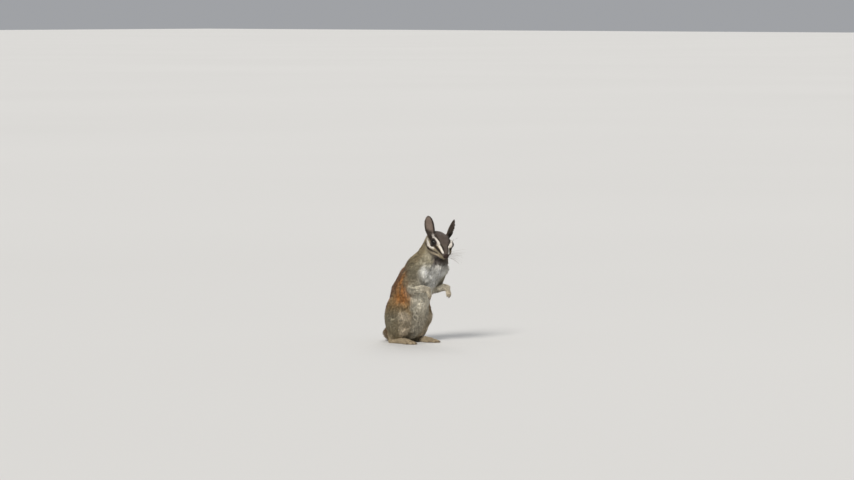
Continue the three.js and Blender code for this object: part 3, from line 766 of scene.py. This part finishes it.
def mesh_object(name, points, faces, material, colour=None, smooth=True):
    mesh = bpy.data.meshes.new(name)
    faces = np.asarray(faces)
    mesh.vertices.add(len(points))
    mesh.vertices.foreach_set("co", world(points).astype(np.float32).ravel())
    n, k = faces.shape
    mesh.loops.add(n * k)
    mesh.loops.foreach_set("vertex_index", faces.astype(np.int32).ravel())
    mesh.polygons.add(n)
    mesh.polygons.foreach_set("loop_start", np.arange(0, n * k, k, dtype=np.int32))
    mesh.polygons.foreach_set("loop_total", np.full(n, k, np.int32))
    mesh.update(calc_edges=True)
    mesh.polygons.foreach_set("use_smooth", np.full(n, smooth))
    if colour is not None:
        layer = mesh.color_attributes.new("Coat", "FLOAT_COLOR", "POINT")
        rgba = np.concatenate([colour, np.ones((len(colour), 1))], 1).astype(np.float32)
        layer.data.foreach_set("color", rgba.ravel())
    mesh.materials.append(material)
    obj = bpy.data.objects.new(name, mesh)
    bpy.context.scene.collection.objects.link(obj)
    return obj


def new_material(name):
    m = bpy.data.materials.new(name)
    m.use_nodes = True
    return m, m.node_tree.nodes, m.node_tree.links, m.node_tree.nodes["Principled BSDF"]


def coat_material(name, roughness, spread, bump, bump_scale, stretch=None):
    m, nodes, links, bsdf = new_material(name)
    col = nodes.new("ShaderNodeVertexColor")
    col.layer_name = "Coat"
    coord = nodes.new("ShaderNodeTexCoord")
    fine = nodes.new("ShaderNodeTexNoise")
    fine.inputs["Scale"].default_value = 2600
    fine.inputs["Detail"].default_value = 3
    links.new(coord.outputs["Object"], fine.inputs["Vector"])
    shade = nodes.new("ShaderNodeMapRange")
    shade.inputs["From Min"].default_value, shade.inputs["From Max"].default_value = 0.3, 0.7
    shade.inputs["To Min"].default_value, shade.inputs["To Max"].default_value = 1 - spread, 1 + spread
    links.new(fine.outputs["Fac"], shade.inputs["Value"])
    mul = nodes.new("ShaderNodeVectorMath")
    mul.operation = "SCALE"
    links.new(col.outputs["Color"], mul.inputs[0])
    links.new(shade.outputs["Result"], mul.inputs["Scale"])
    links.new(mul.outputs["Vector"], bsdf.inputs["Base Color"])
    rough = nodes.new("ShaderNodeMapRange")
    rough.inputs["To Min"].default_value, rough.inputs["To Max"].default_value = roughness - 0.08, roughness + 0.08
    links.new(fine.outputs["Fac"], rough.inputs["Value"])
    links.new(rough.outputs["Result"], bsdf.inputs["Roughness"])
    if bump:
        b = nodes.new("ShaderNodeBump")
        b.inputs["Strength"].default_value = bump
        b.inputs["Distance"].default_value = 0.0004
        grain = nodes.new("ShaderNodeTexNoise")
        grain.inputs["Scale"].default_value = bump_scale
        grain.inputs["Detail"].default_value = 4
        links.new(coord.outputs["Object"], grain.inputs["Vector"])
        links.new(grain.outputs["Fac"], b.inputs["Height"])
        links.new(b.outputs["Normal"], bsdf.inputs["Normal"])
    bsdf.inputs["Specular IOR Level"].default_value = 0.25
    return m


SKIN = coat_material("skin", 0.78, 0.14, 0.5, 1800)
COAT = coat_material("coat", 0.62, 0.10, 0.0, 0)

EYE_MAT, nodes, links, bsdf = new_material("eye")
noise = nodes.new("ShaderNodeTexNoise")
noise.inputs["Scale"].default_value = 900
ramp_node = nodes.new("ShaderNodeValToRGB")
ramp_node.color_ramp.elements[0].color = (0.002, 0.0015, 0.0012, 1)
ramp_node.color_ramp.elements[1].color = (0.006, 0.004, 0.003, 1)
links.new(noise.outputs["Fac"], ramp_node.inputs["Fac"])
links.new(ramp_node.outputs["Color"], bsdf.inputs["Base Color"])
bsdf.inputs["Roughness"].default_value = 0.07
bsdf.inputs["Specular IOR Level"].default_value = 0.24
bsdf.inputs["Coat Weight"].default_value = 0.1
bsdf.inputs["Coat Roughness"].default_value = 0.05

HORN, nodes, links, bsdf = new_material("claw")
noise = nodes.new("ShaderNodeTexNoise")
noise.inputs["Scale"].default_value = 1500
ramp_node = nodes.new("ShaderNodeValToRGB")
ramp_node.color_ramp.elements[0].color = (*srgb(52, 40, 32), 1)
ramp_node.color_ramp.elements[1].color = (*srgb(104, 84, 66), 1)
links.new(noise.outputs["Fac"], ramp_node.inputs["Fac"])
links.new(ramp_node.outputs["Color"], bsdf.inputs["Base Color"])
bsdf.inputs["Roughness"].default_value = 0.35

LID, nodes, links, bsdf = new_material("eyelid")
noise = nodes.new("ShaderNodeTexNoise")
noise.inputs["Scale"].default_value = 2200
ramp_node = nodes.new("ShaderNodeValToRGB")
ramp_node.color_ramp.elements[0].color = (*srgb(30, 23, 20), 1)
ramp_node.color_ramp.elements[1].color = (*srgb(58, 45, 38), 1)
links.new(noise.outputs["Fac"], ramp_node.inputs["Fac"])
links.new(ramp_node.outputs["Color"], bsdf.inputs["Base Color"])
bsdf.inputs["Roughness"].default_value = 0.45

WHISKER, nodes, links, bsdf = new_material("whisker")
noise = nodes.new("ShaderNodeTexNoise")
noise.inputs["Scale"].default_value = 300
ramp_node = nodes.new("ShaderNodeValToRGB")
ramp_node.color_ramp.elements[0].color = (*srgb(70, 60, 54), 1)
ramp_node.color_ramp.elements[1].color = (*srgb(150, 138, 124), 1)
links.new(noise.outputs["Fac"], ramp_node.inputs["Fac"])
links.new(ramp_node.outputs["Color"], bsdf.inputs["Base Color"])
bsdf.inputs["Roughness"].default_value = 0.4

FLESH_NODES = [n for n in frame["nodes"] if not n.startswith("eye_")]
skin = mesh_object("skin", verts, quads, SKIN, skin_col * 0.82)
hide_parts(*FLESH_NODES)
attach(skin, "root")

# an unwrap of the skin by its own shape
bpy.context.view_layer.objects.active = skin
skin.select_set(True)
bpy.ops.object.mode_set(mode="EDIT")
bpy.ops.mesh.select_all(action="SELECT")
bpy.ops.uv.smart_project(angle_limit=math.radians(66), island_margin=0.002)
bpy.ops.object.mode_set(mode="OBJECT")
skin.select_set(False)
skin.data.uv_layers[0].name = "OFBake"
loop_uv = np.empty(len(skin.data.loops) * 2, np.float32)
skin.data.uv_layers["OFBake"].data.foreach_get("uv", loop_uv)
quad_uv = loop_uv.reshape(-1, 4, 2)
print("unwrapped")

# ---------------------------------------------------------------- eyes and lids
for name, (c, out, ahead, upw) in EYES.items():
    nu, nv = 40, 24
    th = np.linspace(0, math.pi, nv + 1)[1:-1]
    ph = np.linspace(0, 2 * math.pi, nu, endpoint=False)
    pts = [c + out * EYE_RADIUS]
    for a in th:
        bulge = 1 + 0.03 * max(0, math.cos(a)) ** 3
        for b in ph:
            pts.append(c + EYE_RADIUS * bulge * (out * math.cos(a) + math.sin(a) * (ahead * math.cos(b) + upw * math.sin(b))))
    pts.append(c - out * EYE_RADIUS)
    pts[0] = c + out * EYE_RADIUS * 1.03
    faces = []
    for i in range(nv - 2):
        for k in range(nu):
            a, b = 1 + i * nu + k, 1 + i * nu + (k + 1) % nu
            faces.append((a, a + nu, b + nu, b))
    last = len(pts) - 1
    caps = [(0, 1 + k, 1 + (k + 1) % nu) for k in range(nu)]
    base = 1 + (nv - 2) * nu
    caps += [(last, base + (k + 1) % nu, base + k) for k in range(nu)]
    mesh = bpy.data.meshes.new("eyeball_" + name)
    flip = np.dot(np.cross(ahead, upw), out) < 0
    all_faces = [tuple(reversed(f)) if flip else f for f in faces + caps]
    mesh.from_pydata([tuple(x) for x in world(np.array(pts))], [], all_faces)
    mesh.polygons.foreach_set("use_smooth", [True] * len(all_faces))
    mesh.materials.append(EYE_MAT)
    ball = bpy.data.objects.new("eyeball_" + name, mesh)
    bpy.context.scene.collection.objects.link(ball)
    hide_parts("eye_" + name)
    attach(ball, "root")
    # lid margin: a thin rounded rim along the opening
    n, m = 56, 8
    pts, faces = [], []
    for i in range(n):
        a = 2 * math.pi * i / n
        x, y = LID_WIDE * 1.02 * math.cos(a), LID_HIGH * 1.02 * math.sin(a)
        r = min(0.985, math.hypot(x, y))
        x, y = (x, y)
        d = unit(out * math.sqrt(max(0.02, 1 - x * x - y * y)) + ahead * x + upw * y)
        centre = c + d * (EYE_RADIUS + 0.16)
        side = unit(-math.sin(a) * LID_WIDE * ahead + math.cos(a) * LID_HIGH * upw)
        inw = unit(np.cross(side, d))
        for k in range(m):
            b = 2 * math.pi * k / m
            pts.append(centre + 0.27 * (d * math.cos(b) * 0.9 + inw * math.sin(b)))
    for i in range(n):
        for k in range(m):
            faces.append((i * m + k, i * m + (k + 1) % m, ((i + 1) % n) * m + (k + 1) % m, ((i + 1) % n) * m + k))
    lid = mesh_object("eyelid_" + name, pts, faces, LID)
    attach(lid, "root")


# ---------------------------------------------------------------- claws and whiskers: tapered curved tubes
def tubes(name, specs, sides, steps, material):
    pts, faces = [], []
    for start, end, r, bend in specs:
        ax = unit(end - start)
        ref = unit(np.cross(ax, V(0, 0, 1) if abs(ax[2]) < 0.9 else V(1, 0, 0)))
        other = np.cross(ax, ref)
        base = len(pts)
        for i in range(steps + 1):
            t = i / steps
            centre = start + (end - start) * t + bend * 4 * t * (1 - t)
            rr = r * (1 - t) ** 0.8 + 0.02
            for k in range(sides):
                b = 2 * math.pi * k / sides
                pts.append(centre + rr * (ref * math.cos(b) + other * math.sin(b)))
        for i in range(steps):
            for k in range(sides):
                a, b = base + i * sides + k, base + i * sides + (k + 1) % sides
                faces.append((a, b, b + sides, a + sides))
    obj = mesh_object(name, pts, faces, material)
    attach(obj, "root")
    return obj


tubes("claws", claws, 8, 5, HORN)
whiskers = []
for s in (1, -1):
    for row in range(4):
        for k in range(4):
            root = H(12.6 - 1.5 * k - 0.2 * row, s * (2.5 + 0.55 * k), -5.1 - 0.75 * row)
            long = 11 + 2.2 * k + rng.uniform(-1.5, 1.5)
            d = unit(HEAD[0] * (0.32 - 0.12 * k) + HEAD[1] * s * 0.9 + HEAD[2] * (0.22 - 0.17 * row) + rng.normal(0, 0.04, 3))
            whiskers.append((root, root + d * long - HEAD[0] * 1.5, 0.05, HEAD[2] * 0.8 + rng.normal(0, 0.2, 3)))
    for k in range(2):
        root = H(3.4 - k, s * 6.6, 4.4)
        whiskers.append((root, root + unit(HEAD[1] * s * 0.7 + HEAD[2] * 0.8 + HEAD[0] * 0.2) * 6, 0.045, -HEAD[0] * 0.6))
tubes("whiskers", whiskers, 4, 7, WHISKER)

# ---------------------------------------------------------------- the coat: tapered locks rooted on the skin
DENSITY = dict(head=11.0, trunk=4.6, thigh=5.0, shank=6.0, foot=9.0, upper=5.4, fore=9.0, paw=9.0, tail=11.0, ear=8.0)
dens_region = np.array([DENSITY[r.split("_")[0]] for r in REGIONS])
dens = skin_w @ dens_region
head_local = to_head(verts)
to_nose = np.linalg.norm(verts - H(15, 0, -5.5), axis=1)
dens *= np.interp(to_nose, [1.6, 2.6, 8, 30], [0, 1.5, 1.6, 1])
for n in JOINTS:
    c, out, ahead, upw = EYES[n]
    q = verts - c
    r = np.maximum(np.linalg.norm(q, axis=1), 1e-6)
    m = np.sqrt((q @ ahead / r / LID_WIDE) ** 2 + (q @ upw / r / LID_HIGH) ** 2)
    dens *= np.where((q @ out > 0) & (m < 1.12) & (r < 4.8), 0, 1)
dens *= np.where(verts[:, 2] < 0.35, 0, 1)  # soles and the underside of the tail stay bare
area = np.linalg.norm(fn_, axis=1) / 2
nq = len(quads)
face_area = area[:nq] + area[nq:]
face_dens = dens[quads].mean(1)
share = face_area * face_dens
BUDGET = 150000
scale = min(1.0, BUDGET / share.sum())
print("locks wanted", int(share.sum()), "scale", round(scale, 3))
order = np.argsort((np.floor(verts[quads[:, 0], 2] / 3) * 1000 + np.floor(verts[quads[:, 0], 0] / 3)) * 1000 + verts[quads[:, 0], 1], kind="stable")
cum = np.cumsum(share[order] * scale)
count = int(cum[-1])
pick = order[np.searchsorted(cum, np.arange(count) + rng.uniform(0, 1, count) * 0.98)]
a, b = rng.uniform(0, 1, (2, count))
wq = np.stack([(1 - a) * (1 - b), a * (1 - b), a * b, (1 - a) * b], 1)


def at_root(values):
    return (values[quads[pick]] * wq[..., None]).sum(1) if values.ndim == 2 else (values[quads[pick]] * wq).sum(1)


root = at_root(verts)
nrm = at_root(normal)
nrm /= np.linalg.norm(nrm, axis=1)[:, None]
wts = at_root(skin_w)
lng = at_root(skin_len)
way = at_root(flow)
uv0 = (quad_uv[pick] * wq[..., None]).sum(1)
col = markings(root, weights(root, 1.8))

wander = np.stack([mottling(root + s_, 1.7) for s_ in (0.0, 31.0, 67.0)], 1)
way = way + 0.16 * wander + rng.normal(0, 0.10, (count, 3))
way -= nrm * (way * nrm).sum(1)[:, None]
way /= np.maximum(np.linalg.norm(way, axis=1), 1e-6)[:, None]
tail_w, face_w = wts[:, 14], wts[:, 0]
foot_w = wts[:, 6:8].sum(1) + wts[:, 12:14].sum(1)
ear_w = wts[:, 15:17].sum(1)
lng = lng * rng.uniform(0.72, 1.18, count)
lift = 0.28 + 0.10 * rng.uniform(-1, 1, count) + 0.05 * wander[:, 0]
lift = lift + 0.12 * wts[:, 1] + 0.05 * wts[:, 2:4].sum(1) + tail_w * (0.50 - 0.32 * np.abs(nrm[:, 2])) - 0.05 * face_w - 0.05 * foot_w - 0.05 * ear_w + 0.12 * wts[:, 8:12].sum(1)
side = np.cross(nrm, way)
wide = np.interp(lng, [0.5, 2, 6, 10], [0.16, 0.26, 0.42, 0.46]) * rng.uniform(0.8, 1.2, count)
sink = 0.12
mid = root + way * (lng * 0.5 * np.cos(lift))[:, None] + nrm * (lng * 0.5 * np.sin(lift) * 1.15)[:, None]
tip = root + way * (lng * np.cos(lift * 0.9))[:, None] + nrm * (lng * np.sin(lift) * 0.82)[:, None]
# locks gather: tips lean to the middle of their small patch
chest_w = wts[:, 1] * ramp(-root[:, 1] - np.interp(root[:, 2], [40, 56, 66, 76], [6, 12, 18, 24]), 0, 6) * ramp(root[:, 2], 46, 54)
size = np.select([face_w > 0.5, tail_w > 0.5, chest_w > 0.4], [1.1, 1.5, 2.8], 2.2)[:, None]
cell = np.floor(root / size).astype(np.int64) + (size * 1000).astype(np.int64)
key = (cell[:, 0] * 4099 + cell[:, 1]) * 4099 + cell[:, 2]
_, inv = np.unique(key, return_inverse=True)
num = np.bincount(inv)
mean_tip = np.stack([np.bincount(inv, tip[:, k]) / num for k in range(3)], 1)[inv]
gather = (0.34 * (1 - foot_w) * (1 - 0.75 * tail_w) * (1 - 0.8 * ear_w) + 0.2 * chest_w)[:, None]
clump = rng.normal(0, 1, len(num))[inv]
tip = tip + (mean_tip - tip) * gather
mid = mid + (mean_tip - tip) * gather * 0.25
below = tip[:, 2] < 0.25
tip[below, 2] = 0.25
mid[:, 2] = np.maximum(mid[:, 2], 0.3)

start = root - nrm * sink
ridge = wide[:, None] * 0.42
corners = [side * wide[:, None] * 0.5, -side * wide[:, None] * 0.5, nrm * ridge]
ring0 = [start + c for c in corners]
ring1 = [mid + c * 0.78 for c in corners]
lock = np.stack([*ring0, *ring1, tip], 1)  # count x 7 x 3
tone = rng.normal(1.0, 0.09, count) + 0.05 * wander[:, 1] + clump * (0.07 + 0.07 * chest_w - 0.03 * face_w)
tone = np.clip(tone, 0.55, 1.5)[:, None]
base_c = col * tone * (0.68 - 0.22 * chest_w)[:, None]
mid_c = np.clip(col * tone, 0, 1)
tip_c = np.clip(col * tone * 1.12, 0, 1)
# ticking on the back, rump and neck: some tips dark, some pale
furred = wts[:, 1] + wts[:, 2] + wts[:, 3] + wts[:, 8] + wts[:, 9]
ticked = (furred > 0.5) & (chest_w < 0.3) & (rng.uniform(0, 1, count) < 0.20)
tip_c[ticked] *= 0.45
ghost = (furred > 0.5) & (rng.uniform(0, 1, count) < 0.10)
tip_c[ghost] = np.clip(tip_c[ghost] * 1.35, 0, 1)
# tail hairs: tawny root, a dark band, tips frosted at the sides and mixed on top
_, tt, off, _ = tail_dir(root)
edge = ramp(np.abs(off), 1.0, 3.2)
tw = tail_w > 0.5
nt = int(tw.sum())
tail_tone = rng.normal(1.0, 0.14, nt)[:, None] * (1 + 0.10 * clump[tw, None])
base_c[tw] = TAWNY * 0.7 * tail_tone
mid_c[tw] = mix(plain(DARK, root[tw]), plain(TAWNY * 0.75, root[tw]), edge[tw] * 0.5) * tail_tone
top_c = np.where(rng.uniform(0, 1, nt)[:, None] < 0.35, DARK * 1.2, TAWNY * 1.15)
tip_c[tw] = mix(top_c, plain(srgb(204, 182, 148), root[tw]), edge[tw] * 0.85) * tail_tone
tip_c[tw] = mix(tip_c[tw], plain(DARK, root[tw]), ramp(tt[tw], 0.88, 1.0) * 0.6)
shade7 = np.stack([base_c] * 3 + [mid_c] * 3 + [tip_c], 1)
shade7 = np.clip(shade7, 0, 1)

pattern = np.array([(0, 2, 5), (0, 5, 3), (2, 1, 4), (2, 4, 5), (1, 0, 3), (1, 3, 4), (3, 5, 6), (5, 4, 6), (4, 3, 6)])
uv7 = np.array([(-1, -1), (1, -1), (0, -1), (-0.8, 0.2), (0.8, 0.2), (0, 0.2), (0, 1)]) * 0.0015
region = np.select(
    [face_w + ear_w > 0.5, tail_w > 0.5, wts[:, 2] + wts[:, 4] + wts[:, 6] > 0.5, wts[:, 3] + wts[:, 5] + wts[:, 7] > 0.5, wts[:, 8:14].sum(1) > 0.5, root[:, 2] > 50],
    [0, 1, 2, 3, 4, 5],
    default=6,
)
names = ["coat_head", "coat_tail", "coat_leg_left", "coat_leg_right", "coat_arms", "coat_chest", "coat_hips"]
MOST = 22000
total = 0
for r, nm in enumerate(names):
    ids = np.nonzero(region == r)[0]
    if not len(ids):
        continue
    for part, sub in enumerate(np.array_split(ids, max(1, math.ceil(len(ids) / MOST)))):
        n = len(sub)
        pts = lock[sub].reshape(-1, 3)
        fc = (pattern[None] + 7 * np.arange(n)[:, None, None]).reshape(-1, 3)
        obj = mesh_object(f"{nm}_{part + 1}", pts, fc, COAT, shade7[sub].reshape(-1, 3))
        uvs = np.clip(uv0[sub][:, None, :] + uv7[None], 0.0005, 0.9995)
        layer = obj.data.uv_layers.new(name="OFBake")
        loop = uvs[:, pattern.reshape(-1), :].reshape(-1)
        layer.data.foreach_set("uv", loop.astype(np.float32))
        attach(obj, "root")
        total += n * 9
print("coat", total, "triangles in all")

# ---------------------------------------------------------------- floor, light and camera
FLOOR, nodes, links, bsdf = new_material("floor")
noise = nodes.new("ShaderNodeTexNoise")
noise.inputs["Scale"].default_value = 40
ramp_node = nodes.new("ShaderNodeValToRGB")
ramp_node.color_ramp.elements[0].color = (0.60, 0.59, 0.57, 1)
ramp_node.color_ramp.elements[1].color = (0.64, 0.63, 0.61, 1)
links.new(noise.outputs["Fac"], ramp_node.inputs["Fac"])
links.new(ramp_node.outputs["Color"], bsdf.inputs["Base Color"])
bsdf.inputs["Roughness"].default_value = 0.9
mesh = bpy.data.meshes.new("floor")
mesh.from_pydata([(-30, -30, 0), (30, -30, 0), (30, 30, 0), (-30, 30, 0)], [], [(0, 1, 2, 3)])
mesh.materials.append(FLOOR)
floor = bpy.data.objects.new("floor", mesh)
bpy.context.scene.collection.objects.link(floor)

world_ = bpy.data.worlds.new("studio")
world_.use_nodes = True
world_.node_tree.nodes["Background"].inputs["Color"].default_value = (0.78, 0.80, 0.84, 1)
world_.node_tree.nodes["Background"].inputs["Strength"].default_value = 0.45
bpy.context.scene.world = world_

AZ, EL, DIST = math.radians(-48), math.radians(3), 4000.0
toward = P(math.cos(AZ), math.sin(AZ), 0)
right = P(-math.sin(AZ), math.cos(AZ), 0)
look = toward * math.cos(EL) + V(0, 0, 1) * math.sin(EL)
upv = V(0, 0, 1) * math.cos(EL) - toward * math.sin(EL)
target = right * ((427 - 415.3) / 1.15) + upv * ((343 - 240) / 1.15)
place = world(target + look * DIST)[0]
cam_data = bpy.data.cameras.new("camera")
cam = bpy.data.objects.new("camera", cam_data)
bpy.context.scene.collection.objects.link(cam)
from mathutils import Matrix, Vector

cam.matrix_world = Matrix.Translation(Vector(place)) @ Matrix((Vector(right), Vector(upv), Vector(look))).transposed().to_4x4()
cam_data.lens = 1.15 * DIST / 854 * 36
cam_data.sensor_width = 36
cam_data.clip_end = 200
bpy.context.scene.camera = cam


sun = bpy.data.lights.new("key", "SUN")
sun.energy = 3.5
sun.angle = math.radians(17)
sun.color = (1.0, 0.975, 0.93)
key = bpy.data.objects.new("key", sun)
key.rotation_euler = Vector(toward * 0.85 - right * 0.24 + V(0, 0, 0.54)).to_track_quat("Z", "Y").to_euler()
bpy.context.scene.collection.objects.link(key)
rim = bpy.data.lights.new("back", "SUN")
rim.energy = 0.9
rim.angle = math.radians(40)
back = bpy.data.objects.new("back", rim)
back.rotation_euler = Vector(-toward * 0.8 + right * 0.1 + V(0, 0, 0.7)).to_track_quat("Z", "Y").to_euler()
bpy.context.scene.collection.objects.link(back)
bpy.context.scene.view_settings.view_transform = "Standard"

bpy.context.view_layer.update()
